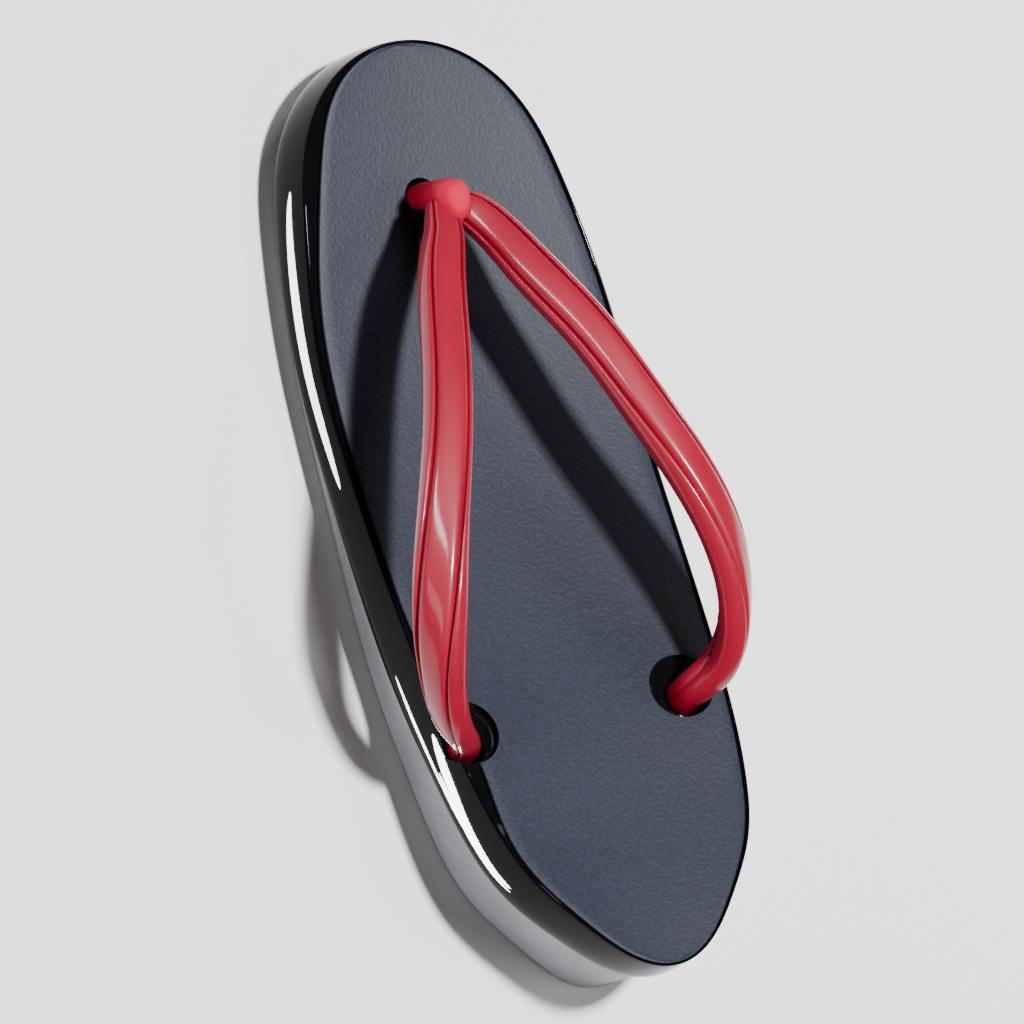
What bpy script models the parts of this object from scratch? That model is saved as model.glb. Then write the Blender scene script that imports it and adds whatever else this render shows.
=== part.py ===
"""A zori sandal for the right foot: a glossy wedge platform on a rubber outsole, with an inlaid
footbed sheet, two padded straps that meet at the front, and the toe post that holds them.

The origin lies on the floor under the middle of the sandal's box. +Y points to the toe, +Z up, and
+X to the outer side of the foot. The tables are in millimetres and MM turns them to metres."""
import math
from collections import namedtuple

import bmesh
import bpy
import numpy as np
from mathutils import Vector

MM = 0.001
GAP = 0.3                # between two pieces that touch
HALF_LENGTH = 118.0
HEEL_ROUNDING = 3.1      # exponent of the outline's end: 2 is an ellipse, more is squarer
TOE_ROUNDING = 3.8
OUTLINE_STEPS = 42       # along each side of the outline
DISH = 1.3               # how much lower the footbed lies in its middle than at its edge
DISH_COLUMNS = 8
SHEET = 1.5              # thickness of the footbed sheet
SHEET_EDGE = 0.5         # rounding of its upper edge
FLAT_UNTIL = 45.0        # the outsole is flat on the floor from the heel to here
TOE_SPRING = 4.5
TREAD_BORDER = 4.0       # smooth rim around the tread
TREAD_DEPTH = 1.5
SOLE_TOP_INSET = 1.3     # of the outsole's upper edge from the sandal's widest outline
SOLE_EDGE = 0.9          # rounding of the outsole's lower edge

STRAP_AXIS = -3.8        # the straps' middle plane lies on the foot's inner side
ORIGIN_ACROSS = -2.7     # the middle of the whole sandal's box, straps included
FRONT_HOLE_ALONG = 79.0
FRONT_HOLE_RADIUS = 4.7
FRONT_HOLE_DEPTH = 7.0
RECESS_OUT = 29.0        # of the round recess around a rear hole, from the straps' middle plane
RECESS_ALONG = -51.8
REAR_BORE_OUT = 29.8
REAR_BORE_ALONG = -54.0
REAR_BORE_RADIUS = 5.2
REAR_BORE_DEPTH = 9.5
RECESS_RADIUS = 7.8
SHEET_HOLE_RADIUS = 8.1
SECTION_SIDES = 14       # of a strap and of the toe post
STRAP_SQUARENESS = 2.4   # exponent of the strap's section
STRAP_STEPS = 3          # between two rows of its table
EYE_SIDES = 16           # the opening in the toe post's loop
EYE_HALF_ALONG = 2.6
EYE_HALF_UP = 3.5
EYE_REACH = 9.0
CUTTER_SIDES = 24
CUTTER_ABOVE = 4.0       # how far a hole's cutter starts above the footbed
SLOPE_REACH = 0.5        # over which a line's direction is measured

# Sections from heel tip to toe tip. half is the half width before the ends are rounded off, lean the
# place of the sole's middle line, top the height of the footbed's edge, body the platform's height,
# rim its width around the footbed, land how much wider it is on the inner side, beside the rear hole
# and at the toe, and tuck how far the outsole's lower edge lies inside the outline.
Section = namedtuple("Section", "along half lean top body rim land tuck")
SECTIONS = [
    Section(-118, 36.0, -1.6, 44.6, 13.7, 1.3, 0.0, 1.6),
    Section(-106, 38.8, -1.1, 42.2, 13.3, 2.8, 0.0, 3.2),
    Section(-96, 42.6, -0.8, 39.9, 12.9, 3.9, 0.2, 3.8),
    Section(-80, 43.7, -0.5, 35.8, 12.2, 4.6, 0.4, 3.6),
    Section(-60, 42.8, -0.3, 31.1, 11.6, 4.6, 3.0, 3.3),
    Section(-40, 42.7, -0.3, 26.2, 11.0, 4.6, 1.4, 2.6),
    Section(-20, 42.9, -0.3, 22.0, 10.1, 4.6, 0.2, 2.4),
    Section(0, 43.1, -0.3, 18.6, 9.2, 4.6, 0.0, 2.6),
    Section(20, 43.3, -0.3, 16.4, 8.8, 4.6, 0.0, 2.8),
    Section(42, 43.5, -0.3, 15.4, 8.6, 4.6, 0.3, 3.0),
    Section(60, 43.3, -0.4, 15.8, 9.3, 4.6, 1.0, 3.2),
    Section(80, 43.6, -0.8, 17.4, 10.5, 4.6, 1.8, 3.2),
    Section(98, 45.2, -1.6, 19.4, 11.7, 3.9, 2.0, 3.2),
    Section(118, 46.0, -3.0, 22.1, 12.9, 2.2, 0.5, 3.2),
]

# The platform's profile from the rim's crest, down the flared side and under.
# across is a share of the rim's width and down a share of the body's height.
Profile = namedtuple("Profile", "across down")
PLATFORM_PROFILE = [
    Profile(0.08, 0.00),
    Profile(0.25, 0.12),
    Profile(0.60, 0.40),
    Profile(0.90, 0.70),
    Profile(1.00, 0.85),
    Profile(0.93, 0.95),
    Profile(0.75, 1.00),
]

# One strap from the neck at the front to its end in the rear bore. out is the distance from the
# straps' middle plane, tilt the angle in degrees by which the padded face leans outwards.
Strap = namedtuple("Strap", "out along up width thick tilt")
STRAP = [
    Strap(0.0, 73.4, 31.2, 4.0, 5.4, 0),
    Strap(3.3, 73.4, 31.1, 4.0, 5.4, 0),
    Strap(5.6, 70.6, 32.0, 5.8, 6.2, 4),
    Strap(7.5, 64.4, 35.0, 9.6, 7.6, 10),
    Strap(11.9, 52.7, 40.5, 11.8, 8.2, 16),
    Strap(18.8, 35.0, 47.8, 12.4, 8.4, 24),
    Strap(25.6, 15.4, 52.0, 13.0, 8.5, 30),
    Strap(32.7, -3.9, 53.6, 13.8, 8.6, 38),
    Strap(38.2, -23.9, 51.6, 14.0, 8.6, 50),
    Strap(38.7, -41.4, 44.2, 12.6, 8.4, 64),
    Strap(35.0, -50.3, 36.6, 10.2, 8.0, 72),
    Strap(30.5, -53.5, 29.9, 8.8, 7.4, 78),
    Strap(29.8, -55.3, 22.8, 8.0, 7.0, 80),
]

# The toe post from its end in the front bore to its top. up is measured from the footbed, and egg
# says how much narrower its back is than its front, where it lies between the straps.
Post = namedtuple("Post", "up along half_across half_along egg")
POST = [
    Post(-5.8, 79.0, 4.0, 3.2, 0.0),
    Post(0.0, 79.0, 4.0, 3.2, 0.0),
    Post(4.0, 78.2, 3.8, 3.3, 0.0),
    Post(8.0, 76.6, 3.4, 3.6, 0.3),
    Post(11.0, 74.8, 3.3, 4.3, 0.6),
    Post(15.3, 73.1, 3.3, 4.9, 0.7),
    Post(18.8, 72.7, 3.3, 4.6, 0.65),
    Post(20.8, 72.8, 2.8, 3.5, 0.3),
    Post(21.8, 72.9, 1.7, 1.9, 0.0),
]

# A round cutter. above is measured from the footbed's edge, along the hole's axis.
Cutter = namedtuple("Cutter", "above radius")
RECESS = [
    Cutter(CUTTER_ABOVE, RECESS_RADIUS),
    Cutter(-0.4, RECESS_RADIUS),
    Cutter(-1.9, RECESS_RADIUS - 0.6),
    Cutter(-2.8, RECESS_RADIUS - 1.8),
    Cutter(-3.2, RECESS_RADIUS - 3.4),
]


def smooth(places, values, at):
    """Reads a smooth curve through the given points, its slopes taken from their neighbours."""
    slopes = np.gradient(values, places)
    i = int(np.clip(np.searchsorted(places, at) - 1, 0, len(places) - 2))
    step = places[i + 1] - places[i]
    t = (at - places[i]) / step
    return float(values[i] * (1 + 2 * t) * (1 - t) ** 2 + slopes[i] * step * t * (1 - t) ** 2
                 + values[i + 1] * t * t * (3 - 2 * t) - slopes[i + 1] * step * t * t * (1 - t))


def column(rows, name):
    return np.array([getattr(row, name) for row in rows], dtype=float)


def section(name, along):
    """One column of the sections' table, read at a place on the sandal's length."""
    return smooth(column(SECTIONS, "along"), column(SECTIONS, name), along)


def half_width(along):
    """The sandal's widest outline."""
    rounding = HEEL_ROUNDING if along < 0 else TOE_ROUNDING
    return section("half", along) * math.sqrt(max(0.0, 1 - abs(along / HALF_LENGTH) ** rounding))


def outline_edge(along, side):
    return section("lean", along) + side * half_width(along)


def outline_point(step, side, inset_of):
    """A point of the widest outline, moved inwards; side is 1 for the right and -1 for the left."""
    along = -HALF_LENGTH * math.cos(math.pi * step / OUTLINE_STEPS)
    inset = inset_of(along, side)
    if step in (0, OUTLINE_STEPS):
        return section("lean", along), along - math.copysign(inset, along)
    reach = min(SLOPE_REACH, HALF_LENGTH - abs(along))
    slope = (outline_edge(along + reach, side) - outline_edge(along - reach, side)) / (2 * reach)
    normal = Vector((side, -side * slope)).normalized() * inset
    return outline_edge(along, side) - normal.x, along - normal.y


def ring(inset_of, height_of):
    """A closed line around the sandal: heel tip, right side, toe tip, left side."""
    right = [outline_point(step, 1, inset_of) for step in range(OUTLINE_STEPS + 1)]
    left = [outline_point(step, -1, inset_of) for step in range(OUTLINE_STEPS - 1, 0, -1)]
    return [(across, along, height_of(along)) for across, along in right + left]


def rim_inset(across):
    return lambda along, side: section("rim", along) * (1 - across)


def seat_inset(extra=0.0):
    """The footbed's edge, which lies further in on the foot's inner side."""
    return lambda along, side: section("rim", along) + (section("land", along) if side < 0 else 0) + extra


def level(down=0.0, lower=0.0):
    return lambda along: section("top", along) - down * section("body", along) - lower


def dish_depth(share, along):
    """How far the footbed lies below its edge, share being -1 to 1 from side to side."""
    return DISH * (1 - share ** 2) * (1 - abs(along / HALF_LENGTH) ** 6)


def footbed(along):
    """The height of the dished footbed on its middle line."""
    return section("top", along) - dish_depth(0, along)


def vertices(bm, points):
    """The tables count across from the sole's middle; the straps' overhang moves the origin."""
    return [bm.verts.new((Vector(point) - Vector((ORIGIN_ACROSS, 0, 0))) * MM) for point in points]


def bridge(bm, lower, upper):
    """Joins two closed lines of as many points with a band of faces."""
    for i in range(len(lower)):
        j = (i + 1) % len(lower)
        bm.faces.new((lower[i], lower[j], upper[j], upper[i]))


def strip_cap(bm, line, columns, depth=None):
    """Closes a line around the sandal with strips from side to side, dished where depth is given."""
    rows = []
    for step in range(1, OUTLINE_STEPS):
        right, left = line[step], line[-step]
        row = [right]
        for k in range(1, columns):
            share = 1 - 2 * k / columns
            point = right.co.lerp(left.co, k / columns)
            point.z -= depth(share, point.y / MM) * MM if depth else 0
            row.append(bm.verts.new(point))
        rows.append(row + [left])
    for k in range(columns):
        bm.faces.new((line[0], rows[0][k], rows[0][k + 1]))
        bm.faces.new((line[OUTLINE_STEPS], rows[-1][k], rows[-1][k + 1]))
        for one, other in zip(rows, rows[1:]):
            bm.faces.new((one[k], other[k], other[k + 1], one[k + 1]))


def finish(name, bm, material):
    """Makes the object of a closed shape, with its faces pointing out and smooth shading."""
    bmesh.ops.recalc_face_normals(bm, faces=bm.faces)
    mesh = bpy.data.meshes.new(name)
    bm.to_mesh(mesh)
    bm.free()
    mesh.shade_smooth()
    mesh.set_sharp_from_angle(angle=math.radians(50))
    obj = bpy.data.objects.new(name, mesh)
    bpy.context.collection.objects.link(obj)
    if material:
        mesh.materials.append(material)
    return obj


def loft(name, rings, material=None):
    """A solid through closed lines of as many points, flat at both ends."""
    bm = bmesh.new()
    lines = [vertices(bm, points) for points in rings]
    for lower, upper in zip(lines, lines[1:]):
        bridge(bm, lower, upper)
    bm.faces.new(lines[0])
    bm.faces.new(lines[-1])
    return finish(name, bm, material)


def finish_material(name, color, roughness):
    material = bpy.data.materials.new(name)
    material.use_nodes = True
    shader = material.node_tree.nodes["Principled BSDF"]
    shader.inputs["Base Color"].default_value = (*color, 1)
    shader.inputs["Roughness"].default_value = roughness
    shader.inputs["Metallic"].default_value = 0
    return material


def cut(obj, cutters):
    """Takes each cutter out of the object and keeps it as a hidden guide."""
    for cutter in cutters:
        modifier = obj.modifiers.new(cutter.name, "BOOLEAN")
        modifier.operation = "DIFFERENCE"
        modifier.solver = "EXACT"
        modifier.object = cutter
        cutter.hide_render = True
        cutter.display_type = "WIRE"


def turns(count):
    """The angles of a closed line of points, as pairs of cosine and sine."""
    return [(math.cos(2 * math.pi * k / count), math.sin(2 * math.pi * k / count)) for k in range(count)]


def turned_cutter(name, out, along, rows):
    """A round cutter square to the footbed, given as heights and radii along its axis."""
    rise = section("top", along + SLOPE_REACH) - section("top", along - SLOPE_REACH)
    axis = Vector((0, -rise, 2 * SLOPE_REACH)).normalized()
    side = Vector((1, 0, 0))
    across = axis.cross(side)
    middle = Vector((STRAP_AXIS + out, along, section("top", along)))
    return loft(name, [[middle + axis * row.above + (side * c + across * s) * row.radius
                        for c, s in turns(CUTTER_SIDES)] for row in rows])


def outsole(material):
    """The rubber wedge, flat on the floor under heel and ball, with a recessed field of tread."""
    def floor(along):
        spring = max(0.0, (along - FLAT_UNTIL) / (HALF_LENGTH - FLAT_UNTIL))
        return TOE_SPRING * spring ** 2

    def top(along):
        return section("top", along) - section("body", along) - GAP

    def tucked(share, extra=0.0):
        return lambda along, side: SOLE_TOP_INSET + share * (section("tuck", along) - SOLE_TOP_INSET) + extra

    def above_floor(height):
        return lambda along: floor(along) + height

    bm = bmesh.new()
    lines = [vertices(bm, ring(inset_of, height_of)) for inset_of, height_of in (
        (tucked(0), top),
        (tucked(0.4), lambda along: (top(along) + floor(along)) / 2),
        (tucked(1, -SOLE_EDGE / 2), above_floor(SOLE_EDGE)),
        (tucked(1, SOLE_EDGE / 2), above_floor(0)),
        (tucked(1, TREAD_BORDER), above_floor(0)),
        (tucked(1, TREAD_BORDER + TREAD_DEPTH / 2), above_floor(TREAD_DEPTH)),
    )]
    for upper, lower in zip(lines, lines[1:]):
        bridge(bm, upper, lower)
    strip_cap(bm, lines[0], 1)
    strip_cap(bm, lines[-1], 1)
    return finish("outsole", bm, material)


def platform(material, cutters):
    """The glossy body: a seat for the sheet, a rim, and sides that flare outwards going down."""
    bm = bmesh.new()
    lines = [vertices(bm, ring(seat_inset(), level(lower=lower))) for lower in (SHEET + GAP, GAP)]
    lines += [vertices(bm, ring(rim_inset(row.across), level(row.down))) for row in PLATFORM_PROFILE]
    for upper, lower in zip(lines, lines[1:]):
        bridge(bm, upper, lower)
    strip_cap(bm, lines[0], DISH_COLUMNS, dish_depth)
    strip_cap(bm, lines[-1], 1)
    obj = finish("platform", bm, material)
    cut(obj, cutters)
    return obj


def insole(material, cutters):
    """The footbed sheet, which lies in the platform's seat and follows its dish."""
    bm = bmesh.new()
    lines = [vertices(bm, ring(seat_inset(GAP + inset), level(lower=lower))) for inset, lower in (
        (SHEET_EDGE, 0), (0, SHEET_EDGE), (0, SHEET))]
    for upper, lower in zip(lines, lines[1:]):
        bridge(bm, upper, lower)
    strip_cap(bm, lines[0], DISH_COLUMNS, dish_depth)
    strip_cap(bm, lines[-1], DISH_COLUMNS, dish_depth)
    obj = finish("insole", bm, material)
    cut(obj, cutters)
    return obj


def strap_rows():
    """The whole band: the left strap from its rear end, the neck, and the right strap."""
    left = [row._replace(out=-row.out, tilt=-row.tilt) for row in reversed(STRAP[1:])]
    return left + STRAP


def strap_section(squareness, width, thick):
    """Points around a strap's section, as distances across it and out of its padded face."""
    return [(math.copysign(abs(c) ** (2 / squareness), c) * width / 2,
             math.copysign(abs(s) ** (2 / squareness), s) * thick / 2) for c, s in turns(SECTION_SIDES)]


def hanao(material):
    """Both padded straps and the neck that joins them, swept along one smooth line."""
    rows = strap_rows()
    route = [Vector((row.out, row.along, row.up)) for row in rows]
    lengths = np.concatenate([[0], np.cumsum([(b - a).length for a, b in zip(route, route[1:])])])

    def read(name, at):
        return smooth(lengths, column(rows, name), at)

    def place(at):
        return Vector((STRAP_AXIS + read("out", at), read("along", at), read("up", at)))

    stations = []
    for start, end in zip(lengths, lengths[1:]):
        stations += [start + (end - start) * k / STRAP_STEPS for k in range(STRAP_STEPS)]
    stations.append(lengths[-1])
    rings = []
    for at in stations:
        before, after = max(0, at - SLOPE_REACH), min(lengths[-1], at + SLOPE_REACH)
        direction = (place(after) - place(before)).normalized()
        tilt = math.radians(read("tilt", at))
        face = Vector((math.sin(tilt), 0, math.cos(tilt)))
        face = (face - direction * face.dot(direction)).normalized()
        across = direction.cross(face)
        outline = strap_section(STRAP_SQUARENESS, read("width", at), read("thick", at))
        rings.append([place(at) + across * a + face * b for a, b in outline])
    return loft("hanao", rings, material)


def eye_cutter():
    """The opening in the toe post's loop, which the straps' neck goes through."""
    neck = STRAP[0]
    rings = []
    for across in (STRAP_AXIS - EYE_REACH, STRAP_AXIS + EYE_REACH):
        rings.append([(across, neck.along + EYE_HALF_ALONG * c, neck.up + EYE_HALF_UP * s)
                      for c, s in turns(EYE_SIDES)])
    return loft("eye_cutter", rings)


def toe_post(material):
    """The cloth post between the toes, wider at its top, where it loops over the straps' neck."""
    seat = footbed(FRONT_HOLE_ALONG)
    rings = []
    for row in POST:
        rings.append([(STRAP_AXIS + row.half_across * c * (1 + row.egg * s), row.along + row.half_along * s,
                       seat + row.up) for c, s in turns(SECTION_SIDES)])
    obj = loft("toe_post", rings, material)
    cut(obj, [eye_cutter()])
    return obj


def hole_cutters():
    """The cutters of the platform and of the sheet, for the front hole and both rear holes."""
    def straight(radius, depth):
        return [Cutter(CUTTER_ABOVE, radius), Cutter(-depth, radius)]

    front = straight(FRONT_HOLE_RADIUS, DISH + FRONT_HOLE_DEPTH)
    for_platform = [turned_cutter("front_bore", 0, FRONT_HOLE_ALONG, front)]
    for_sheet = [turned_cutter("front_opening", 0, FRONT_HOLE_ALONG, front)]
    for side, sign in (("left", -1), ("right", 1)):
        bore = straight(REAR_BORE_RADIUS, REAR_BORE_DEPTH)
        opening = straight(SHEET_HOLE_RADIUS, CUTTER_ABOVE)
        for_platform.append(turned_cutter("recess_" + side, sign * RECESS_OUT, RECESS_ALONG, RECESS))
        for_platform.append(turned_cutter("bore_" + side, sign * REAR_BORE_OUT, REAR_BORE_ALONG, bore))
        for_sheet.append(turned_cutter("opening_" + side, sign * RECESS_OUT, RECESS_ALONG, opening))
    return for_platform, for_sheet


def main():
    for obj in list(bpy.data.objects):
        bpy.data.objects.remove(obj, do_unlink=True)
    for_platform, for_sheet = hole_cutters()
    outsole(finish_material("moulded rubber", (0.035, 0.037, 0.042), 0.55))
    platform(finish_material("glossy black coat", (0.006, 0.006, 0.008), 0.08), for_platform)
    insole(finish_material("matte footbed sheet", (0.05, 0.058, 0.075), 0.6), for_sheet)
    hanao(finish_material("red patent cover", (0.62, 0.045, 0.07), 0.25))
    toe_post(finish_material("red cloth", (0.55, 0.05, 0.07), 0.8))


main()
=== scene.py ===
"""The looks of a right-foot zori sandal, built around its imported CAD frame.

Tables are in millimetres unless they say otherwise, and place() turns them to metres. Across is
measured from the sole's middle, and out from the straps' line, which lies STRAP_AXIS across."""
import math
from collections import namedtuple

import bmesh
import bpy
import numpy as np
from mathutils import Matrix, Vector


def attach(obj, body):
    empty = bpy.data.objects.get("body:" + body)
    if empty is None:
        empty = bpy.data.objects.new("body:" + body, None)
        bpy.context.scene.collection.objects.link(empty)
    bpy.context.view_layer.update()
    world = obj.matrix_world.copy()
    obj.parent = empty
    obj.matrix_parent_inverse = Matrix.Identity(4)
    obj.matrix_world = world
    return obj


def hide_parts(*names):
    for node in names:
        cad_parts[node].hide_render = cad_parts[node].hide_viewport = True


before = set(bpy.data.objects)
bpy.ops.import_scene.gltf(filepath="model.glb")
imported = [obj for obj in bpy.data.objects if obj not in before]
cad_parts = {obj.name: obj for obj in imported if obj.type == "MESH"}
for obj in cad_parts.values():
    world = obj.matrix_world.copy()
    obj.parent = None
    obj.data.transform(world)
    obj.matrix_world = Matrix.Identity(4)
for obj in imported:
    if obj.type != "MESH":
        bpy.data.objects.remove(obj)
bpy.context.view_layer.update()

MM = 0.001
ORIGIN_ACROSS = -2.7     # the straps' overhang moves the middle of the sandal's box
HALF_LENGTH = 118.0
HEEL_ROUNDING = 3.1      # exponent of the outline's end: 2 is an ellipse, more is squarer
TOE_ROUNDING = 3.8
STEPS = 96               # along each side of the outline
SECTION_STEP = 0.5       # over which a line's direction is measured
GAP = 0.3                # between pieces that touch
MERGE = 0.02             # under which two points become one
HOLE_SIDES = 64

SHEET = 1.5              # thickness of the footbed sheet
SHEET_COLUMNS = 24
DISH = 1.3               # how far the footbed's middle lies under its edge
DISH_LENGTH = 6          # exponent: with more, the dish keeps its depth nearer to heel and toe

LIP_INSET = 1.3          # of the rubber's lip from the widest outline
SIDE_FOOT = 1.4          # height above the floor line where the falls of the rubber's side reach 1
FLAT_UNTIL = 45.0        # ahead of this the sole rises to the toe
TOE_SPRING = 4.5
TREAD_BORDER = 4.0
TREAD_DEPTH = 1.5
STUD_ROWS = 41
STUD_COLUMNS = 15
STUD_PITCH = 5.7
STUD_WIDTH = 4.3
STUD_TIP = 0.3
STUD_SINK = 0.25         # how far a stud's foot reaches into the field
STUD_MARGIN = 1.0        # between a stud and the border
STUD_END = 9.5           # no stud lies nearer than this to heel tip or toe tip

STRAP_AXIS = -3.8        # the straps' line lies nearer to the foot's inner side
STRAP_STATIONS = 110
SEAM_START = 12.0
SEAM_END = 16.0
STITCH_PITCH = 2.6
STITCH_LENGTH = 1.7
STITCH_RADIUS = 0.24
STITCH_SEAT = 0.93       # a stitch's place under the strap, as a share of its half thickness

POST_SIDES = 40
POST_STATIONS = 46
POST_SQUARENESS = 2.3    # exponent of the post's section: 2 is an ellipse, more is squarer
POST_SPREAD = 0.85       # under 1, the lines at the post's foot lie further apart
WEAVE_PITCH = 0.45       # between threads of the toe loop's cloth

# Sections from heel tip to toe tip: half width, lean of the middle line, height of the footbed's
# edge, height of the glossy body, its rim's width, the extra land on the inner side and the
# outsole's tuck.
Section = namedtuple("Section", "along half lean top body rim land tuck")
SECTIONS = [
    Section(-118, 36.0, -1.6, 44.6, 13.7, 1.3, 0.0, 1.6),
    Section(-106, 38.8, -1.1, 42.2, 13.3, 2.8, 0.0, 3.2),
    Section(-96, 42.6, -0.8, 39.9, 12.9, 3.9, 0.2, 3.8),
    Section(-80, 43.7, -0.5, 35.8, 12.2, 4.6, 0.4, 3.6),
    Section(-60, 42.8, -0.3, 31.1, 11.6, 4.6, 3.0, 3.3),
    Section(-40, 42.7, -0.3, 26.2, 11.0, 4.6, 1.4, 2.6),
    Section(-20, 42.9, -0.3, 22.0, 10.1, 4.6, 0.2, 2.4),
    Section(0, 43.1, -0.3, 18.6, 9.2, 4.6, 0.0, 2.6),
    Section(20, 43.3, -0.3, 16.4, 8.8, 4.6, 0.0, 2.8),
    Section(42, 43.5, -0.3, 15.4, 8.6, 4.6, 0.3, 3.0),
    Section(60, 43.3, -0.4, 15.8, 9.3, 4.6, 1.0, 3.2),
    Section(80, 43.6, -0.8, 17.4, 10.5, 4.6, 2.6, 3.2),
    Section(98, 45.2, -1.6, 19.4, 11.7, 3.9, 3.2, 3.2),
    Section(118, 46.0, -3.0, 22.1, 12.9, 2.2, 0.0, 3.2),
]

# The glossy body from its rim's inner lip over the narrow crest, down the flared wall and under.
# across is a share of the rim's width, going outwards, and fall a share of the body's height.
Profile = namedtuple("Profile", "across fall")
BODY_PROFILE = [
    Profile(0.03, 0.022), Profile(0.05, 0.006), Profile(0.09, 0.000), Profile(0.13, 0.006),
    Profile(0.17, 0.024), Profile(0.21, 0.050), Profile(0.26, 0.088), Profile(0.33, 0.145),
    Profile(0.42, 0.222), Profile(0.52, 0.312), Profile(0.62, 0.407), Profile(0.72, 0.507),
    Profile(0.80, 0.593), Profile(0.87, 0.675), Profile(0.925, 0.750), Profile(0.965, 0.820),
    Profile(0.99, 0.885), Profile(1.00, 0.930), Profile(0.985, 0.965), Profile(0.94, 0.990),
    Profile(0.86, 1.000), Profile(0.75, 1.000),
]

# The rubber's side from its lip to its foot. tucked is a share of its tuck and inside an extra inset
# in millimetres; fall is a share of its height and lower an extra drop in millimetres.
Side = namedtuple("Side", "tucked inside fall lower")
RUBBER_PROFILE = [
    Side(0.00, 1.1, 0.00, 0.00), Side(0.00, 0.35, 0.00, 0.05), Side(0.00, 0.05, 0.00, 0.30),
    Side(0.00, 0.00, 0.00, 0.75), Side(0.00, 0.10, 0.00, 1.10), Side(0.00, 0.55, 0.00, 1.30),
    Side(0.00, 0.55, 0.00, 1.50), Side(0.02, 0.15, 0.00, 1.70), Side(0.08, 0.00, 0.08, 1.70),
    Side(0.26, 0.00, 0.28, 1.20), Side(0.50, 0.00, 0.52, 0.80), Side(0.76, 0.00, 0.76, 0.40),
    Side(0.93, 0.00, 0.93, 0.00),
]

# Rounded edges, as pairs. The sole's are insets from the tucked outline and the field's from its
# border, each with a height above the floor line. The sheet's are insets with a drop from its top.
SOLE_EDGE = [(-0.42, 1.1), (-0.38, 0.6), (-0.12, 0.18), (0.45, 0.0)]
FIELD_EDGE = [(-0.25, 0.0), (0.0, 0.12), (TREAD_DEPTH / 2, TREAD_DEPTH)]
SHEET_EDGE = [(0.55, 0.0), (0.26, 0.07), (0.07, 0.25), (0.0, 0.5), (0.0, SHEET)]

# Each strap from its front end, inside the toe loop, to its end in the rear bore; -1 is the left one
# and 1 the right one. tilt is its lean outwards in degrees: each has twisted its own way with wear.
Strap = namedtuple("Strap", "out along up width thick tilt")
STRAP_FRONTS = {
    -1: [Strap(2.8, 73.9, 30.2, 5.0, 3.6, 0), Strap(2.9, 73.2, 30.5, 6.6, 4.7, 0),
         Strap(3.1, 72.0, 31.1, 7.5, 5.4, 0), Strap(3.7, 69.8, 32.1, 8.5, 6.2, 0),
         Strap(4.8, 66.3, 33.7, 9.8, 7.0, 0), Strap(7.3, 61.5, 36.0, 11.0, 7.7, 0),
         Strap(11.9, 52.7, 40.5, 11.9, 8.2, -2), Strap(18.8, 35.0, 47.8, 12.1, 8.4, -2),
         Strap(25.6, 15.4, 52.0, 12.2, 8.4, 3), Strap(32.7, -3.9, 53.6, 12.7, 8.3, 17),
         Strap(38.2, -23.9, 51.6, 13.5, 8.2, 45), Strap(38.7, -41.4, 44.2, 12.3, 8.0, 74)],
    1: [Strap(1.3, 73.8, 30.2, 4.4, 3.6, -16), Strap(2.5, 72.4, 30.7, 7.8, 5.0, -18),
        Strap(4.3, 70.6, 31.5, 9.6, 6.2, -20), Strap(6.6, 67.3, 33.1, 10.5, 7.0, -20),
        Strap(8.8, 62.4, 35.5, 11.0, 7.7, -20), Strap(11.9, 52.7, 40.5, 11.9, 8.2, -18),
        Strap(18.8, 35.0, 47.8, 12.1, 8.4, -13), Strap(25.6, 15.4, 52.0, 12.2, 8.4, -2),
        Strap(32.7, -3.9, 53.6, 12.7, 8.3, 15), Strap(38.2, -23.9, 51.6, 13.5, 8.2, 36),
        Strap(38.7, -41.4, 44.2, 12.3, 8.0, 60)],
}
STRAP_END = [
    Strap(35.0, -50.3, 36.6, 10.2, 7.6, 76), Strap(30.5, -53.5, 29.9, 8.8, 7.2, 80),
    Strap(29.8, -55.3, 22.8, 8.0, 7.0, 82),
]

# Half of a strap's section, as shares of its half width and half thickness: the crowned band, the
# groove, the piped edge and the flatter underside with its seam.
Edge = namedtuple("Edge", "across out")
STRAP_EDGE = [
    Edge(0.00, 1.00), Edge(0.17, 0.995), Edge(0.32, 0.975), Edge(0.44, 0.94), Edge(0.52, 0.885),
    Edge(0.58, 0.80), Edge(0.625, 0.66), Edge(0.655, 0.50), Edge(0.685, 0.52), Edge(0.715, 0.655),
    Edge(0.75, 0.72), Edge(0.79, 0.725), Edge(0.845, 0.67), Edge(0.90, 0.55), Edge(0.95, 0.39),
    Edge(0.985, 0.19), Edge(1.00, -0.02), Edge(0.985, -0.24), Edge(0.94, -0.45), Edge(0.86, -0.64),
    Edge(0.74, -0.78), Edge(0.58, -0.87), Edge(0.40, -0.92), Edge(0.22, -0.94), Edge(0.09, -0.93),
    Edge(0.04, -0.88), Edge(0.00, -0.85),
]

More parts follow.
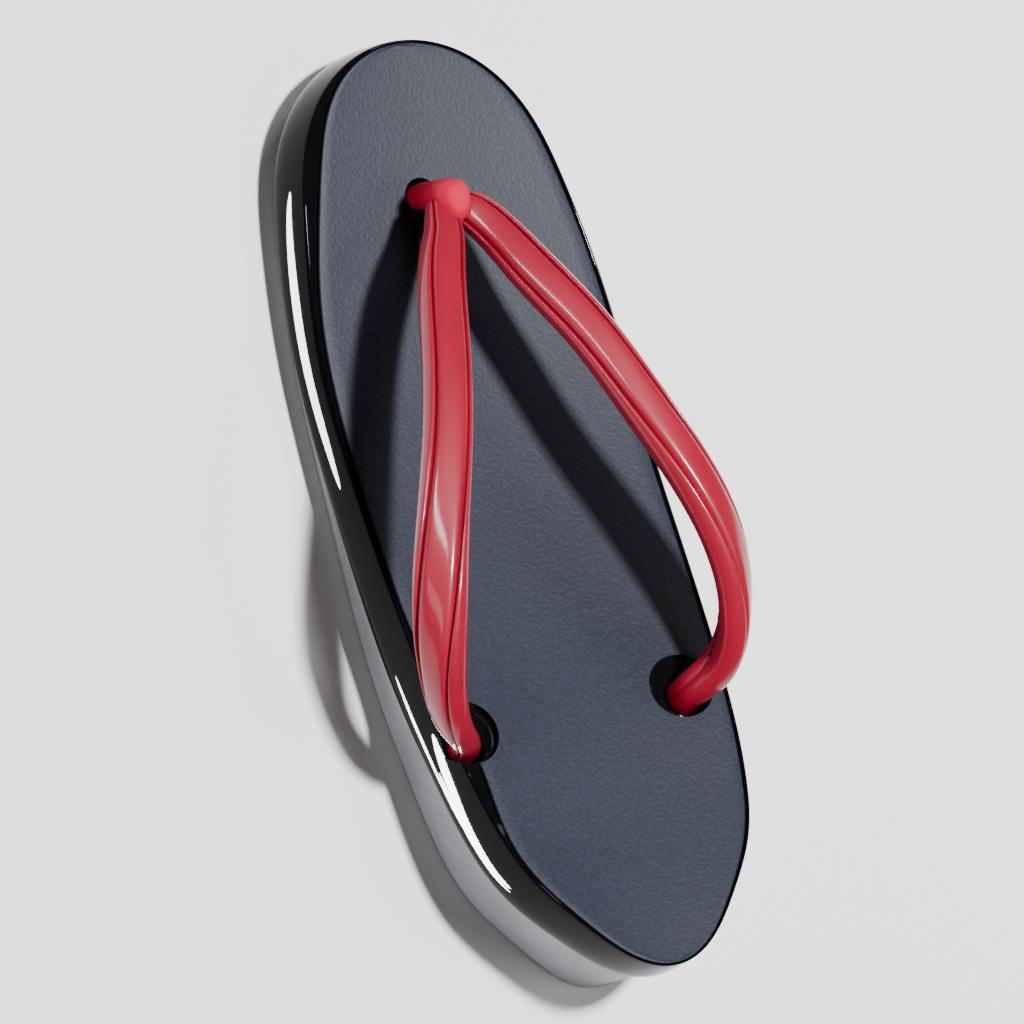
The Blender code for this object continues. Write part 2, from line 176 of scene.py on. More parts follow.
# The toe post from its end in the front hole to its top. egg is how much wider than an even section
# its front is, and how much narrower its back, between the straps.
Post = namedtuple("Post", "up along half_across half_along egg")
POST = [
    Post(-5.8, 78.6, 3.4, 3.0, 0.0),
    Post(0.0, 78.3, 3.5, 3.2, 0.0),
    Post(4.0, 77.5, 3.6, 3.6, 0.05),
    Post(8.0, 76.1, 3.9, 4.2, 0.05),
    Post(11.5, 74.8, 4.2, 4.9, 0.15),
    Post(14.6, 73.7, 4.5, 5.5, 0.25),
    Post(16.6, 73.2, 4.4, 5.4, 0.25),
    Post(18.3, 73.1, 3.9, 4.8, 0.2),
    Post(19.6, 73.1, 3.1, 3.8, 0.15),
    Post(20.5, 73.2, 1.9, 2.4, 0.1),
    Post(20.9, 73.2, 0.6, 0.8, 0.0),
]

# Round cutters. above is measured from the footbed's edge, along the hole's axis.
Cutter = namedtuple("Cutter", "above radius")
FRONT_HOLE = [Cutter(4.0, 4.3), Cutter(-8.3, 4.3)]
REAR_BORE = [Cutter(4.0, 5.2), Cutter(-9.5, 5.2)]
SHEET_HOLE = [Cutter(4.0, 8.1), Cutter(-4.0, 8.1)]
RECESS = [
    Cutter(4.0, 7.8), Cutter(-0.4, 7.8), Cutter(-1.2, 7.6), Cutter(-1.9, 7.2), Cutter(-2.4, 6.6),
    Cutter(-2.8, 6.0), Cutter(-3.2, 4.4),
]
Hole = namedtuple("Hole", "out along")
FRONT = Hole(0.0, 78.6)
RECESSES = [Hole(-29.0, -51.8), Hole(29.0, -51.8)]
BORES = [Hole(-29.8, -54.0), Hole(29.8, -54.0)]

# The camera that fits the sole's outline and the straps in the photograph. Its places and distances
# are in metres, its sensor and lens in millimetres.
ELEVATION = math.radians(64.0)
AZIMUTH = math.radians(13.1)
ROLL = math.radians(-63.9)
LOOK = Vector((0.0027, 0, 0.020))
NUDGE = 0.0022           # moves the look left and down in the picture, to frame the sandal
DISTANCE = 1.4
SENSOR = 36
LENS = 204.75
FAR_END = 50

# The studio's lamps, in metres and watts.
Lamp = namedtuple("Lamp", "name spot aim size power shape", defaults=["RECTANGLE"])
KEY = Lamp("key", (0.24, 0.05, 1.6), (0, 0, 0), (0.14, 0.14), 60)
SOFTBOXES = [
    Lamp("toe softbox", (0.62, -0.42, 1.15), (0, 0.05, 0), (0.5, 0.3), 5),
    Lamp("heel softbox", (0.60, 0.80, 1.0), (0, -0.06, 0), (0.4, 0.4), 3.8),
]
STRAP_STRIP = Lamp("strap strip", (-0.545, 0.47, 0.87), (0, 0.03, 0.05), (0.10, 0.85), 13)
STRAP_GLOW = Lamp("strap glow", (-0.84, -0.04, 0.52), (-0.03, -0.03, 0.05), (0.30, 0.24), 0.8, "ELLIPSE")
SIDE_SOFTBOX = Lamp("side softbox", (-0.86, 0.0, 0.60), (-0.03, -0.03, 0.05), (0.6, 0.5), 5)
LOW_SOFTBOX = Lamp("low softbox", (-0.86, -0.25, 0.40), (-0.03, -0.03, 0.02), (0.6, 0.4), 11)
WORLD_STRENGTH = 0.055
FLOOR_SIZE = 8

# Low lights beside the sandal, in millimetres and watts, whose reflections are the streaks on its
# black side. turn is the streak's slope in degrees.
Gleam = namedtuple("Gleam", "name along up length height power turn")
GLEAM_ACROSS = -60       # from the frame's origin, not from the sole's middle
GLEAMS = [
    Gleam("toe gleam", 57, 5.4, 82, 5.5, 0.45, -4),
    Gleam("waist gleam", -54, 5.6, 44, 4.5, 0.2, 0),
    Gleam("upper heel gleam", -78, 12.6, 60, 6.0, 0.55, 7),
    Gleam("lower heel gleam", -85, 6.9, 52, 4.2, 0.35, 7),
]


def linear(hex_color):
    """An sRGB hex colour as the linear values that a shader takes."""
    parts = [int(hex_color[i:i + 2], 16) / 255 for i in (1, 3, 5)]
    return tuple(p / 12.92 if p <= 0.04045 else ((p + 0.055) / 1.055) ** 2.4 for p in parts) + (1.0,)


def column(rows, name):
    return np.array([getattr(row, name) for row in rows], dtype=float)


def spline(places, values):
    """A natural cubic curve through the points, which keeps reflections free of kinks."""
    x, y = np.asarray(places, dtype=float), np.asarray(values, dtype=float)
    n = len(x)
    h = np.diff(x)
    system, right = np.eye(n), np.zeros(n)
    for i in range(1, n - 1):
        system[i, i - 1:i + 2] = h[i - 1], 2 * (h[i - 1] + h[i]), h[i]
        right[i] = 6 * ((y[i + 1] - y[i]) / h[i] - (y[i] - y[i - 1]) / h[i - 1])
    bend = np.linalg.solve(system, right)

    def read(at):
        i = int(np.clip(np.searchsorted(x, at) - 1, 0, n - 2))
        a, b = x[i + 1] - at, at - x[i]
        curve = (bend[i] * a ** 3 + bend[i + 1] * b ** 3) / (6 * h[i])
        rise = (y[i] / h[i] - bend[i] * h[i] / 6) * a
        fall = (y[i + 1] / h[i] - bend[i + 1] * h[i] / 6) * b
        return float(curve + rise + fall)
    return read


# Each column of the sections, read at any place along the sandal.
SOLE = {name: spline(column(SECTIONS, "along"), column(SECTIONS, name)) for name in Section._fields[1:]}


def place(point):
    """A point of the tables in the frame's metres."""
    return Vector((point[0] - ORIGIN_ACROSS, point[1], point[2])) * MM


def outline_edge(along, side):
    """The widest outline; side is 1 for the right and -1 for the left."""
    rounding = HEEL_ROUNDING if along < 0 else TOE_ROUNDING
    half = SOLE["half"](along) * math.sqrt(max(0.0, 1 - abs(along / HALF_LENGTH) ** rounding))
    return SOLE["lean"](along) + side * half


def outline_point(step, side, inset_of):
    """A point of the widest outline, moved inwards square to it."""
    along = -HALF_LENGTH * math.cos(math.pi * step / STEPS)
    inset = inset_of(along, side)
    if step in (0, STEPS):
        return SOLE["lean"](along), along - math.copysign(inset, along)
    reach = min(SECTION_STEP, HALF_LENGTH - abs(along))
    slope = (outline_edge(along + reach, side) - outline_edge(along - reach, side)) / (2 * reach)
    normal = Vector((side, -side * slope)).normalized() * inset
    return outline_edge(along, side) - normal.x, along - normal.y


def ring(inset_of, height_of):
    """A closed line around the sandal: heel tip, right side, toe tip, left side."""
    points = [outline_point(step, 1, inset_of) for step in range(STEPS + 1)]
    points += [outline_point(step, -1, inset_of) for step in range(STEPS - 1, 0, -1)]
    return [(across, along, height_of(along)) for across, along in points]


def rim_inset(across):
    """The inset of a line of the glossy body, at a share of its rim's width."""
    return lambda along, side: SOLE["rim"](along) * (1 - across)


def seat_inset(extra=0.0):
    """The footbed's edge, which lies further in on the foot's inner side."""
    return lambda along, side: SOLE["rim"](along) + (SOLE["land"](along) if side < 0 else 0) + extra


def level(lower=0.0):
    """The height of the footbed's edge, or of a line under it."""
    return lambda along: SOLE["top"](along) - lower


def fall_of(row):
    """The height of one line of the glossy body's profile."""
    return lambda along: SOLE["top"](along) - row.fall * SOLE["body"](along)


def dish(along):
    """How far the footbed's middle line lies under its edge."""
    return DISH * (1 - abs(along / HALF_LENGTH) ** DISH_LENGTH)


def only(obj):
    """Leaves one object selected and active."""
    bpy.ops.object.select_all(action="DESELECT")
    obj.select_set(True)
    bpy.context.view_layer.objects.active = obj


def edit(obj, mode="VERT"):
    only(obj)
    bpy.ops.object.mode_set(mode="EDIT")
    bpy.ops.mesh.select_mode(type=mode)
    bpy.ops.mesh.select_all(action="DESELECT")


def leave():
    bpy.ops.object.mode_set(mode="OBJECT")


def turn_out():
    """In edit mode, turns every face outwards."""
    bpy.ops.mesh.select_all(action="SELECT")
    bpy.ops.mesh.normals_make_consistent(inside=False)


def lay_last(obj, points):
    """Moves the newest vertices, which an extrusion has just made in their old order."""
    bm = bmesh.from_edit_mesh(obj.data)
    bm.verts.ensure_lookup_table()
    for vertex, point in zip(bm.verts[-len(points):], points):
        vertex.co = place(point)
    bmesh.update_edit_mesh(obj.data)


def loft(name, rings, close=True):
    """Adds a circle and extrudes its edge from line to line; close fills both ends."""
    count = len(rings[0])
    bpy.ops.object.select_all(action="DESELECT")
    bpy.ops.mesh.primitive_circle_add(vertices=count, radius=MM)
    obj = bpy.context.object
    obj.name = obj.data.name = name
    bpy.ops.object.mode_set(mode="EDIT")
    bpy.ops.mesh.select_all(action="SELECT")
    lay_last(obj, rings[0])
    for points in rings[1:]:
        bpy.ops.mesh.extrude_edges_move()
        lay_last(obj, points)
    if close:
        bpy.ops.mesh.edge_face_add()
        bpy.ops.mesh.select_all(action="DESELECT")
        bm = bmesh.from_edit_mesh(obj.data)
        bm.verts.ensure_lookup_table()
        for vertex in bm.verts[:count]:
            vertex.select = True
        bm.select_flush(True)
        bpy.ops.mesh.edge_face_add()
    turn_out()
    leave()
    return obj


def cap(name, inset_of, height_of, columns=2, dished=False):
    """A grid bent onto the area inside a line around the sandal; dished lowers its middle."""
    bpy.ops.object.select_all(action="DESELECT")
    bpy.ops.mesh.primitive_grid_add(x_subdivisions=columns, y_subdivisions=STEPS, size=2)
    obj = bpy.context.object
    obj.name = obj.data.name = name
    for vertex in obj.data.vertices:
        share = vertex.co.x
        step = round((vertex.co.y + 1) / 2 * STEPS)
        sides = [outline_point(step, side, inset_of) for side in (-1, 1)]
        across, along = (a + (b - a) * (share + 1) / 2 for a, b in zip(*sides))
        depth = dish(along) * (1 - share ** 2) if dished else 0.0
        vertex.co = place((across, along, height_of(along) - depth))
    return obj


def join(obj, *others):
    """Joins pieces into one, merges edges that lie on each other and turns the faces outwards."""
    only(obj)
    for other in others:
        other.select_set(True)
    bpy.ops.object.join()
    edit(obj)
    bpy.ops.mesh.select_all(action="SELECT")
    bpy.ops.mesh.remove_doubles(threshold=MERGE * MM)
    turn_out()
    leave()
    return obj


def apply_modifier(obj, kind, **settings):
    only(obj)
    modifier = obj.modifiers.new(kind.lower(), kind)
    for key, value in settings.items():
        setattr(modifier, key, value)
    bpy.ops.object.modifier_apply(modifier=modifier.name)


def drill(obj, hole, rows):
    """Takes a turned shape out of a piece, square to the footbed."""
    rise = SOLE["top"](hole.along + SECTION_STEP) - SOLE["top"](hole.along - SECTION_STEP)
    axis = Vector((0, -rise, 2 * SECTION_STEP)).normalized()
    side = Vector((1, 0, 0))
    across = axis.cross(side)
    middle = Vector((STRAP_AXIS + hole.out, hole.along, SOLE["top"](hole.along)))
    spokes = []
    for k in range(HOLE_SIDES):
        turn = 2 * math.pi * k / HOLE_SIDES
        spokes.append(side * math.cos(turn) + across * math.sin(turn))
    rings = [[middle + axis * row.above + spoke * row.radius for spoke in spokes] for row in rows]
    cutter = loft("cutter", rings)
    apply_modifier(obj, "BOOLEAN", operation="DIFFERENCE", solver="EXACT", object=cutter)
    bpy.data.objects.remove(cutter, do_unlink=True)


def smooth(obj, degrees=38):
    only(obj)
    bpy.ops.object.shade_smooth_by_angle(angle=math.radians(degrees))


def glossy_body():
    """The platform: a seat for the sheet, a rim, and a side that flares outwards going down."""
    rings = [ring(seat_inset(), level(lower=SHEET + GAP)), ring(seat_inset(), level(lower=GAP))]
    rings += [ring(rim_inset(row.across), fall_of(row)) for row in BODY_PROFILE]
    wall = loft("platform_body", rings, close=False)
    seat = cap("seat", seat_inset(), level(lower=SHEET + GAP), SHEET_COLUMNS, dished=True)
    under = cap("under", rim_inset(BODY_PROFILE[-1].across), fall_of(BODY_PROFILE[-1]))
    body = join(wall, seat, under)
    drill(body, FRONT, FRONT_HOLE)
    for recess, bore in zip(RECESSES, BORES):
        drill(body, recess, RECESS)
        drill(body, bore, REAR_BORE)
    smooth(body)
    return body


def footbed_sheet():
    """The inlaid sheet, dished, with a softly rounded edge and round openings for straps and post."""
    rings = [ring(seat_inset(GAP + inset), level(lower=lower)) for inset, lower in SHEET_EDGE]
    wall = loft("footbed_sheet", rings, close=False)
    upper = cap("upper", seat_inset(GAP + SHEET_EDGE[0][0]), level(), SHEET_COLUMNS, dished=True)
    lower = cap("lower", seat_inset(GAP), level(lower=SHEET), SHEET_COLUMNS, dished=True)
    sheet = join(wall, upper, lower)
    drill(sheet, FRONT, FRONT_HOLE)
    for recess in RECESSES:
        drill(sheet, recess, SHEET_HOLE)
    smooth(sheet)
    return sheet


def floor_line(along):
    """The height of the sole's lowest line, which rises at the toe."""
    return TOE_SPRING * max(0.0, (along - FLAT_UNTIL) / (HALF_LENGTH - FLAT_UNTIL)) ** 2


def rubber_top(along):
    """The height of the rubber's top, just under the glossy body."""
    return SOLE["top"](along) - SOLE["body"](along) - GAP


def tucked(share, inside=0.0):
    """The inset of a line of the rubber's side, from its lip at 0 to its foot at 1."""
    return lambda along, side: LIP_INSET + share * (SOLE["tuck"](along) - LIP_INSET) + inside


def rubber_sole():
    """The rubber wedge with a lip under the glossy body and a recessed field of tread below."""
    def fallen(row):
        def height(along):
            start = rubber_top(along) - row.lower
            return start - row.fall * (start - floor_line(along) - SIDE_FOOT)
        return height

    def above_floor(height):
        return lambda along: floor_line(along) + height

    rings = [ring(tucked(row.tucked, row.inside), fallen(row)) for row in RUBBER_PROFILE]
    rings += [ring(tucked(1, inside), above_floor(height)) for inside, height in SOLE_EDGE]
    rings += [ring(tucked(1, TREAD_BORDER + inside), above_floor(height)) for inside, height in FIELD_EDGE]
    wall = loft("rubber_sole", rings, close=False)
    top = cap("top", tucked(0, RUBBER_PROFILE[0].inside), fallen(RUBBER_PROFILE[0]))
    field = cap("field", tucked(1, TREAD_BORDER + TREAD_DEPTH / 2), above_floor(TREAD_DEPTH))
    sole = join(wall, top, field)
    smooth(sole, degrees=30)
    return sole


def field_holds(across, along):
    """Whether a whole stud fits inside the sole's smooth border."""
    reach = STUD_WIDTH / 2
    for a, b in ((-1, -1), (-1, 1), (1, -1), (1, 1)):
        x, y = across + a * reach, along + b * reach
        if abs(y) > HALF_LENGTH - STUD_END:
            return False
        inset = SOLE["tuck"](y) + TREAD_BORDER + STUD_MARGIN
        widen = math.hypot(1, (outline_edge(y + 1, a) - outline_edge(y - 1, a)) / 2)
        if (x - outline_edge(y, a) + a * inset * widen) * a > 0:
            return False
    return True


def tread_studs():
    """Low pyramids in rows and columns, modelled once and repeated over the field."""
    height = (TREAD_DEPTH + STUD_SINK) * MM
    bpy.ops.object.select_all(action="DESELECT")
    bpy.ops.mesh.primitive_cone_add(vertices=4, radius1=STUD_WIDTH / 2 * MM * math.sqrt(2),
                                    radius2=STUD_TIP * MM, depth=height)
    studs = bpy.context.object
    studs.name = studs.data.name = "tread_studs"
    bpy.ops.transform.rotate(value=math.radians(45), orient_axis="Z", center_override=(0, 0, 0))
    bpy.ops.transform.rotate(value=math.radians(180), orient_axis="X", center_override=(0, 0, 0))
    bpy.ops.object.transform_apply(location=True, rotation=True, scale=True)
    pitch = STUD_PITCH * MM
    for count, step in ((STUD_COLUMNS, (pitch, 0, 0)), (STUD_ROWS, (0, pitch, 0))):
        apply_modifier(studs, "ARRAY", count=count, use_relative_offset=False, use_constant_offset=True,
                       constant_offset_displace=step)
    lean = SOLE["lean"](0)
    middle = place((lean, 0, 0))
    half_columns, half_rows = (STUD_COLUMNS - 1) / 2, (STUD_ROWS - 1) / 2
    edit(studs)
    bm = bmesh.from_edit_mesh(studs.data)
    bm.verts.ensure_lookup_table()
    per_stud = len(bm.verts) // (STUD_ROWS * STUD_COLUMNS)
    for k in range(STUD_ROWS * STUD_COLUMNS):
        across = ((k % STUD_COLUMNS) - half_columns) * STUD_PITCH
        along = ((k // STUD_COLUMNS) - half_rows) * STUD_PITCH
        inside = field_holds(across + lean, along)
        for vertex in bm.verts[k * per_stud:(k + 1) * per_stud]:
            vertex.co.x += middle.x - half_columns * pitch
            vertex.co.y -= half_rows * pitch
            vertex.co.z += floor_line(vertex.co.y / MM) * MM + height / 2
            vertex.select = not inside
    bm.select_flush(True)
    bmesh.update_edit_mesh(studs.data)
    bpy.ops.mesh.delete(type="VERT")
    turn_out()
    leave()
    return studs


def strap_line(side):
    """One strap's middle line, directions and size, read by the length from its front end."""
    rows = STRAP_FRONTS[side] + STRAP_END
    route = [Vector((row.out, row.along, row.up)) for row in rows]
    lengths = np.concatenate([[0], np.cumsum([(b - a).length for a, b in zip(route, route[1:])])])
    read = {name: spline(lengths, column(rows, name)) for name in Strap._fields}

    def point(at):
        return Vector((STRAP_AXIS + side * read["out"](at), read["along"](at), read["up"](at)))

    def station(at):
        before, after = max(0, at - SECTION_STEP), min(lengths[-1], at + SECTION_STEP)
        direction = (point(after) - point(before)).normalized()
        tilt = side * math.radians(read["tilt"](at))
        face = Vector((math.sin(tilt), 0, math.cos(tilt)))
        face = (face - direction * face.dot(direction)).normalized()
        return point(at), direction, direction.cross(face), face, read["width"](at), read["thick"](at)
    return station, float(lengths[-1])


def padded_strap(side):
    """A padded tube with a groove and a piped edge on each side."""
    station, length = strap_line(side)
    half = [(edge.across, edge.out) for edge in STRAP_EDGE]
    outline = half + [(-across, out) for across, out in reversed(half[1:-1])]
    rings = []
    for k in range(STRAP_STATIONS + 1):
        middle, _, across, face, width, thick = station(length * k / STRAP_STATIONS)
        rings.append([middle + across * (a * width / 2) + face * (b * thick / 2) for a, b in outline])
    strap = loft("padded_strap", rings)
    smooth(strap, degrees=60)
    return strap


def padded_straps():
    """Both straps as one piece; their front ends lie together inside the toe loop."""
    left, right = padded_strap(-1), padded_strap(1)
    only(left)
    right.select_set(True)
    bpy.ops.object.join()
    left.name = left.data.name = "padded_straps"
    return left


def seam_stitches():
    """Short thread stitches along the straps' undersides, one modelled and the others copied."""
    bpy.ops.object.select_all(action="DESELECT")
    bpy.ops.mesh.primitive_cylinder_add(vertices=6, radius=STITCH_RADIUS * MM, depth=STITCH_LENGTH * MM)
    stitch = bpy.context.object
    stitch.name = stitch.data.name = "seam_stitches"
    edit(stitch, "FACE")
    bm = bmesh.from_edit_mesh(stitch.data)
    for face in bm.faces:
        face.select = abs(face.normal.z) > 0.9
    bmesh.update_edit_mesh(stitch.data)
    rounding = STITCH_RADIUS / 2 * MM
    bpy.ops.mesh.inset(thickness=rounding, depth=rounding)
    leave()
    copies = []
    for side in (-1, 1):
        station, length = strap_line(side)
        for k in range(int((length - SEAM_START - SEAM_END) / STITCH_PITCH)):
            middle, direction, across, face, _, thick = station(SEAM_START + k * STITCH_PITCH)
            turned = Matrix((across, face, direction)).transposed().to_4x4()
            copy = stitch.copy()
            copy.data = stitch.data.copy()
            bpy.context.collection.objects.link(copy)
            copy.data.transform(Matrix.Translation(place(middle - face * (thick / 2 * STITCH_SEAT))) @ turned)
            copies.append(copy)
    bpy.data.objects.remove(stitch, do_unlink=True)
    first, rest = copies[0], copies[1:]
    first.name = first.data.name = "seam_stitches"
    join(first, *rest)
    smooth(first, degrees=50)
    return first


def squared(value, squareness):
    """A sine or cosine drawn towards a rounded square."""
    return math.copysign(abs(value) ** (2 / squareness), value)


def toe_loop():
    """The cloth post, wider at its top where it loops over the straps' front ends."""
    ups = column(POST, "up")
    read = {name: spline(ups, column(POST, name)) for name in Post._fields[1:]}
    seat = SOLE["top"](FRONT.along) - dish(FRONT.along)
    rings = []
    for k in range(POST_STATIONS + 1):
        share = k / POST_STATIONS
        up = ups[0] + (ups[-1] - ups[0]) * math.sin(share * math.pi / 2) ** POST_SPREAD
        wide, deep, egg = read["half_across"](up), read["half_along"](up), read["egg"](up)
        points = []
        for j in range(POST_SIDES):
            turn = 2 * math.pi * j / POST_SIDES
            c, s = squared(math.cos(turn), POST_SQUARENESS), squared(math.sin(turn), POST_SQUARENESS)
            points.append((STRAP_AXIS + wide * c * (1 + egg * s), read["along"](up) + deep * s, seat + up))
        rings.append(points)
    loop = loft("toe_loop", rings)
    smooth(loop, degrees=50)
    return loop


def per(pitch):
    """The scale of a texture whose features are this many millimetres apart."""
    return 1 / (pitch * MM)


def node(tree, kind, settings=None, **links):
    """Adds one node with its settings, and links or values for its inputs; i6 is input 6."""
    made = tree.nodes.new(kind)
    for key, value in (settings or {}).items():
        setattr(made, key, value)
    for key, value in links.items():
        numbered = key[0] == "i" and key[1:].isdigit()
        socket = made.inputs[int(key[1:]) if numbered else key.replace("_", " ")]
        if isinstance(value, bpy.types.NodeSocket):
            tree.links.new(value, socket)
        else:
            socket.default_value = value
    return made


def material(name, **sockets):
    """A new material, its node tree and its shader."""
    made = bpy.data.materials.new(name)
    made.use_nodes = True
    tree = made.node_tree
    shader = tree.nodes["Principled BSDF"]
    for key, value in sockets.items():
        shader.inputs[key.replace("_", " ")].default_value = value
    return made, tree, shader


def patent_black():
    """Black urethane coat, cast over the platform: deep black with mirror-like streaks."""
    made, tree, shader = material("patent urethane coat", Base_Color=linear("#08080a"), Roughness=0.035,
                                  IOR=1.36, Specular_IOR_Level=0.16)
    where = node(tree, "ShaderNodeTexCoord").outputs["Object"]
    swell = node(tree, "ShaderNodeTexNoise", Vector=where, Scale=per(26.3), Detail=2.0)
    bump = node(tree, "ShaderNodeBump", Strength=0.06, Distance=0.6 * MM, Height=swell.outputs["Fac"])
    tree.links.new(bump.outputs["Normal"], shader.inputs["Normal"])
    return made


def footbed_cloth():
    """Matte synthetic sheet with a fine pebble grain: dark slate blue, lighter on its crests."""
    made, tree, shader = material("matte footbed sheet", Roughness=0.5, Specular_IOR_Level=0.22)
    where = node(tree, "ShaderNodeTexCoord").outputs["Object"]
    grain = node(tree, "ShaderNodeTexVoronoi", {"feature": "F1"}, Vector=where, Scale=per(0.9))
    mottle = node(tree, "ShaderNodeTexNoise", Vector=where, Scale=per(1.1), Detail=3.0)
    both = node(tree, "ShaderNodeMath", {"operation": "MULTIPLY"}, i0=grain.outputs["Distance"],
                i1=mottle.outputs["Fac"])
    spread = node(tree, "ShaderNodeMapRange", Value=both.outputs[0], From_Min=0.05, From_Max=0.42)
    color = node(tree, "ShaderNodeMix", {"data_type": "RGBA"}, i0=spread.outputs[0],
                 i6=linear("#0f1421"), i7=linear("#181e2f"))
    tree.links.new(color.outputs[2], shader.inputs["Base Color"])
    bump = node(tree, "ShaderNodeBump", Strength=0.35, Distance=0.2 * MM, Height=both.outputs[0])
    tree.links.new(bump.outputs["Normal"], shader.inputs["Normal"])
    return made


def sole_rubber():
    """Moulded grey rubber, satin from the mould, with fine pores."""
    made, tree, shader = material("moulded grey rubber", Roughness=0.5, Specular_IOR_Level=0.5)
    where = node(tree, "ShaderNodeTexCoord").outputs["Object"]
    pores = node(tree, "ShaderNodeTexNoise", Vector=where, Scale=per(0.6), Detail=3.0)
    cloud = node(tree, "ShaderNodeTexNoise", Vector=where, Scale=per(25), Detail=3.0)
    both = node(tree, "ShaderNodeMath", {"operation": "MULTIPLY"}, i0=pores.outputs["Fac"],
                i1=cloud.outputs["Fac"])
    spread = node(tree, "ShaderNodeMapRange", Value=both.outputs[0], From_Min=0.12, From_Max=0.4)
    color = node(tree, "ShaderNodeMix", {"data_type": "RGBA"}, i0=spread.outputs[0],
                 i6=linear("#5f6064"), i7=linear("#79797f"))
    tree.links.new(color.outputs[2], shader.inputs["Base Color"])
    bump = node(tree, "ShaderNodeBump", Strength=0.25, Distance=0.2 * MM, Height=pores.outputs["Fac"])
    tree.links.new(bump.outputs["Normal"], shader.inputs["Normal"])
    return made


def strap_cover():
    """Red coated leather cloth, pulled tight over padding: clear gloss over a faint grain."""
    made, tree, shader = material("red coated leather cloth", Roughness=0.48, Specular_IOR_Level=0.2,
                                  Coat_Weight=1.0, Coat_Roughness=0.13, Coat_IOR=1.32)
    where = node(tree, "ShaderNodeTexCoord").outputs["Object"]
    grain = node(tree, "ShaderNodeTexVoronoi", {"feature": "F1"}, Vector=where, Scale=per(0.8))
    cloud = node(tree, "ShaderNodeTexNoise", Vector=where, Scale=per(11.1), Detail=3.0)
    color = node(tree, "ShaderNodeMix", {"data_type": "RGBA"}, i0=cloud.outputs["Fac"],
                 i6=linear("#820621"), i7=linear("#930a28"))
    tree.links.new(color.outputs[2], shader.inputs["Base Color"])
    bump = node(tree, "ShaderNodeBump", Strength=0.12, Distance=0.1 * MM, Height=grain.outputs["Distance"])
    tree.links.new(bump.outputs["Normal"], shader.inputs["Normal"])
    return made


def loop_cloth():
    """Red cotton cloth of the toe loop: matte, with threads that cross on the slant on its top and sides.

    At a scale of 1 a diagonal wave texture repeats every 2 pi / 10 along an axis, and slanting
    threads are the root of 2 times as far apart along an axis as square to themselves."""
    made, tree, shader = material("red woven cotton", Roughness=0.7, Specular_IOR_Level=0.2)
    where = node(tree, "ShaderNodeTexCoord").outputs["Object"]
    waves = []
    for turned in ((1, 1, 1), (1, -1, 1)):
        run = node(tree, "ShaderNodeMapping", Vector=where, Scale=turned)
        wave = node(tree, "ShaderNodeTexWave", {"bands_direction": "DIAGONAL"}, Vector=run.outputs[0],
                    Scale=2 * math.pi / 10 * per(WEAVE_PITCH * math.sqrt(2)), Distortion=0.6)
        waves.append(wave.outputs["Fac"])
    weave = node(tree, "ShaderNodeMath", {"operation": "MULTIPLY"}, i0=waves[0], i1=waves[1])
    color = node(tree, "ShaderNodeMix", {"data_type": "RGBA"}, i0=weave.outputs[0],
                 i6=linear("#a80d2c"), i7=linear("#c4183a"))
    tree.links.new(color.outputs[2], shader.inputs["Base Color"])
    bump = node(tree, "ShaderNodeBump", Strength=0.25, Distance=0.1 * MM, Height=weave.outputs[0])
    tree.links.new(bump.outputs["Normal"], shader.inputs["Normal"])
    return made


def thread():
    """Twisted polyester thread, dark red and slightly shiny."""
    made, tree, shader = material("dark red thread", Roughness=0.5, Base_Color=linear("#6d0f1c"))
    where = node(tree, "ShaderNodeTexCoord").outputs["Object"]
    twist = node(tree, "ShaderNodeTexNoise", Vector=where, Scale=per(0.3))
    bump = node(tree, "ShaderNodeBump", Strength=0.4, Distance=0.1 * MM, Height=twist.outputs["Fac"])
    tree.links.new(bump.outputs["Normal"], shader.inputs["Normal"])
    return made


def dress(piece, made, slot, *nodes):
    """Gives a finished piece its material and its place in the frame."""
    piece.data.materials.clear()
    piece.data.materials.append(made)
    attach(piece, "root")
    if nodes:
        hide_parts(*nodes)


def place_camera():
    """The photograph's view of this sandal, turned in the picture's plane and framed on it."""
    back = Vector((-math.cos(ELEVATION) * math.cos(AZIMUTH), -math.cos(ELEVATION) * math.sin(AZIMUTH),
                   math.sin(ELEVATION)))
    level_right = Vector((math.sin(AZIMUTH), -math.cos(AZIMUTH), 0))
    level_up = back.cross(level_right)
    right = level_right * math.cos(ROLL) - level_up * math.sin(ROLL)
    up = level_right * math.sin(ROLL) + level_up * math.cos(ROLL)
    spot = LOOK - right * NUDGE - up * NUDGE + back * DISTANCE
    data = bpy.data.cameras.new("camera")
    data.sensor_width = SENSOR
    data.lens = LENS
    data.clip_end = FAR_END
    camera = bpy.data.objects.new("camera", data)
    bpy.context.collection.objects.link(camera)
    camera.matrix_world = Matrix(((right.x, up.x, back.x, spot.x), (right.y, up.y, back.y, spot.y),
                                  (right.z, up.z, back.z, spot.z), (0, 0, 0, 1)))
    bpy.context.scene.camera = camera


def area_light(row, diffuse=True, glossy=True):
    """A lamp that may be kept out of diffuse light or out of reflections."""
    data = bpy.data.lights.new(row.name, "AREA")
    data.shape = row.shape
    data.size, data.size_y = row.size
    data.energy = row.power
    lamp = bpy.data.objects.new(row.name, data)
    bpy.context.collection.objects.link(lamp)
    lamp.location = row.spot
    lamp.rotation_euler = (Vector(row.aim) - Vector(row.spot)).to_track_quat("-Z", "Y").to_euler()
    lamp.visible_camera = False
    lamp.visible_diffuse = diffuse
    lamp.visible_glossy = glossy
    return lamp


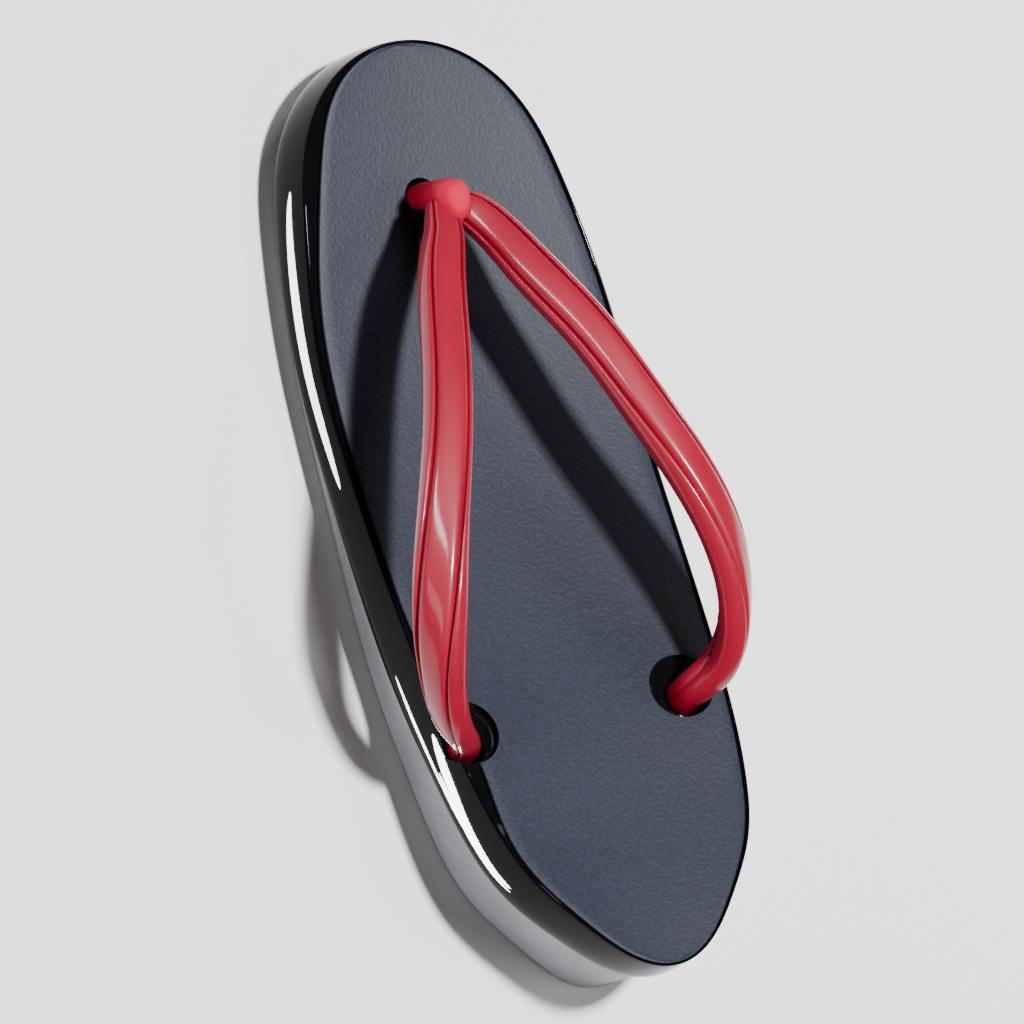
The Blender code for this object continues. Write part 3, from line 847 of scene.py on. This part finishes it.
def gleam(row):
    """A low light that shows only in gloss, as one long streak."""
    spot = Vector((GLEAM_ACROSS, row.along, row.up)) * MM
    aim = spot + Vector((1, 0, 0))
    size = (row.length * MM, row.height * MM)
    lamp = area_light(Lamp(row.name, spot, aim, size, row.power, "ELLIPSE"), diffuse=False)
    lamp.rotation_euler.rotate(Matrix.Rotation(math.radians(row.turn), 3, "X"))
    return lamp


def link_light(lamps, pieces, state="INCLUDE"):
    """Keeps lamps to some pieces or, with EXCLUDE, away from them."""
    chosen = bpy.data.collections.new(lamps[0].name)
    for piece in pieces:
        chosen.objects.link(piece)
    for row in chosen.collection_objects:
        row.light_linking.link_state = state
    for lamp in lamps:
        lamp.light_linking.receiver_collection = chosen


def studio():
    """A pale paper floor and the lamps that light it; returns the softboxes."""
    bpy.ops.object.select_all(action="DESELECT")
    bpy.ops.mesh.primitive_plane_add(size=FLOOR_SIZE)
    floor = bpy.context.object
    floor.name = "floor"
    paper, _, _ = material("pale paper floor", Base_Color=linear("#f2f2f2"), Roughness=0.9)
    floor.data.materials.append(paper)
    world = bpy.data.worlds.new("studio")
    bpy.context.scene.world = world
    world.use_nodes = True
    sky = world.node_tree.nodes["Background"]
    sky.inputs["Color"].default_value = linear("#ffffff")
    sky.inputs["Strength"].default_value = WORLD_STRENGTH
    area_light(KEY)
    return [area_light(row) for row in SOFTBOXES]


place_camera()
softboxes = studio()

body = glossy_body()
sheet = footbed_sheet()
sole = rubber_sole()
studs = tread_studs()
straps = padded_straps()
stitches = seam_stitches()
loop = toe_loop()

link_light([gleam(row) for row in GLEAMS], [body])
strip = area_light(STRAP_STRIP, diffuse=False)
link_light([area_light(SIDE_SOFTBOX, glossy=False)], [straps, loop])
link_light([strip, area_light(STRAP_GLOW)], [straps])
link_light([area_light(LOW_SOFTBOX)], [sole])
link_light(softboxes, [straps], "EXCLUDE")

rubber = sole_rubber()
dress(body, patent_black(), "glossy black coat", "platform")
dress(sheet, footbed_cloth(), "matte footbed sheet", "insole")
dress(sole, rubber, "moulded rubber", "outsole")
dress(studs, rubber, "moulded rubber")
dress(straps, strap_cover(), "red patent cover", "hanao")
dress(stitches, thread(), "red cloth")
dress(loop, loop_cloth(), "red cloth", "toe_post")
